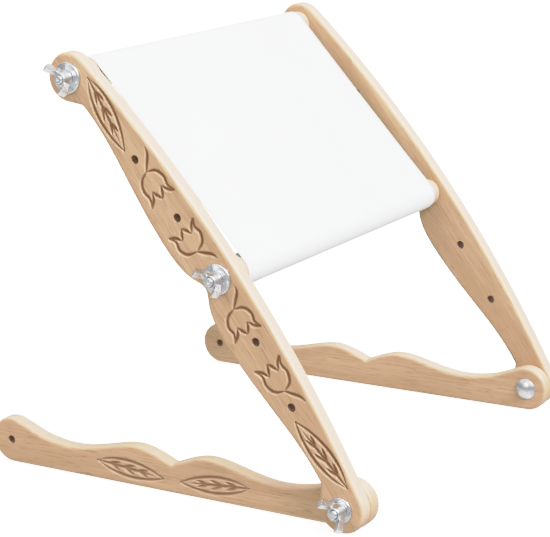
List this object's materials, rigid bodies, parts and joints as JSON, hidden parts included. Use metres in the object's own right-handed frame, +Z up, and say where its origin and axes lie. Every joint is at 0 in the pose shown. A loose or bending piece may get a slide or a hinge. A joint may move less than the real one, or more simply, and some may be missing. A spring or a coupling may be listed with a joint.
{
  "type": "embroidery scroll frame",
  "caption": "Table-top scroll frame for embroidery: canvas stretched between wooden rollers held in shaped arms that tilt on flat feet and clamp with wing nuts.",
  "frame": {"origin": "on the table, in the middle of the rectangle that the undersides of the feet cover", "axes": "+X across the frame to the user's right, +Y along the feet away from the user, +Z up"},
  "size_m": [0.361, 0.325, 0.315],
  "materials": {
    "beech": "sanded and waxed",
    "zinc_plated_steel": "bright zinc plate",
    "canvas": "plain weave cotton"
  },
  "bodies": {
    "left_foot": {"left_foot": "beech", "left_pivot_bolt": "zinc_plated_steel"},
    "right_foot": {"right_foot": "beech", "right_pivot_bolt": "zinc_plated_steel"},
    "frame": {"left_arm": "beech", "right_arm": "beech", "canvas": "canvas", "left_pivot_washer": "zinc_plated_steel", "right_pivot_washer": "zinc_plated_steel", "upper_left_washer": "zinc_plated_steel", "upper_right_washer": "zinc_plated_steel", "lower_left_washer": "zinc_plated_steel", "lower_right_washer": "zinc_plated_steel"},
    "upper_roller": {"upper_roller": "beech", "upper_left_stud": "zinc_plated_steel", "upper_right_stud": "zinc_plated_steel"},
    "lower_roller": {"lower_roller": "beech", "lower_left_stud": "zinc_plated_steel", "lower_right_stud": "zinc_plated_steel"},
    "left_pivot_wing_nut": {"left_pivot_wing_nut": "zinc_plated_steel"},
    "right_pivot_wing_nut": {"right_pivot_wing_nut": "zinc_plated_steel"},
    "upper_left_wing_nut": {"upper_left_wing_nut": "zinc_plated_steel"},
    "upper_right_wing_nut": {"upper_right_wing_nut": "zinc_plated_steel"},
    "lower_left_wing_nut": {"lower_left_wing_nut": "zinc_plated_steel"},
    "lower_right_wing_nut": {"lower_right_wing_nut": "zinc_plated_steel"}
  },
  "joints": [
    {"name": "frame_tilt", "type": "hinge", "parent": "left_foot", "child": "frame", "pos_m": [0, -0.145, 0.018], "axis": [1, 0, 0], "range_deg": [-49.5, 115]},
    {"name": "right_foot_swing", "type": "hinge", "parent": "frame", "child": "right_foot", "pos_m": [0, -0.145, 0.018], "axis": [1, 0, 0], "range_deg": [-116, 50.5]},
    {"name": "upper_roller_turn", "type": "hinge", "parent": "frame", "child": "upper_roller", "pos_m": [0, 0.06563, 0.29752], "axis": [1, 0, 0], "range_deg": [-300, 300]},
    {"name": "lower_roller_turn", "type": "hinge", "parent": "frame", "child": "lower_roller", "pos_m": [0, -0.05246, 0.16739], "axis": [1, 0, 0], "range_deg": [-300, 300]},
    {"name": "left_pivot_wing_nut_spin", "type": "hinge", "parent": "left_foot", "child": "left_pivot_wing_nut", "pos_m": [0, -0.145, 0.018], "axis": [-1, 0, 0], "continuous": true},
    {"name": "right_pivot_wing_nut_spin", "type": "hinge", "parent": "right_foot", "child": "right_pivot_wing_nut", "pos_m": [0, -0.145, 0.018], "axis": [1, 0, 0], "continuous": true},
    {"name": "upper_left_wing_nut_spin", "type": "hinge", "parent": "upper_roller", "child": "upper_left_wing_nut", "pos_m": [0, 0.06563, 0.29752], "axis": [-1, 0, 0], "continuous": true},
    {"name": "upper_right_wing_nut_spin", "type": "hinge", "parent": "upper_roller", "child": "upper_right_wing_nut", "pos_m": [0, 0.06563, 0.29752], "axis": [1, 0, 0], "continuous": true},
    {"name": "lower_left_wing_nut_spin", "type": "hinge", "parent": "lower_roller", "child": "lower_left_wing_nut", "pos_m": [0, -0.05246, 0.16739], "axis": [-1, 0, 0], "continuous": true},
    {"name": "lower_right_wing_nut_spin", "type": "hinge", "parent": "lower_roller", "child": "lower_right_wing_nut", "pos_m": [0, -0.05246, 0.16739], "axis": [1, 0, 0], "continuous": true}
  ],
  "couplings": [
    {"joint": "right_foot_swing", "follows": "frame_tilt", "ratio": -1},
    {"joint": "lower_roller_turn", "follows": "upper_roller_turn", "ratio": 1}
  ]
}
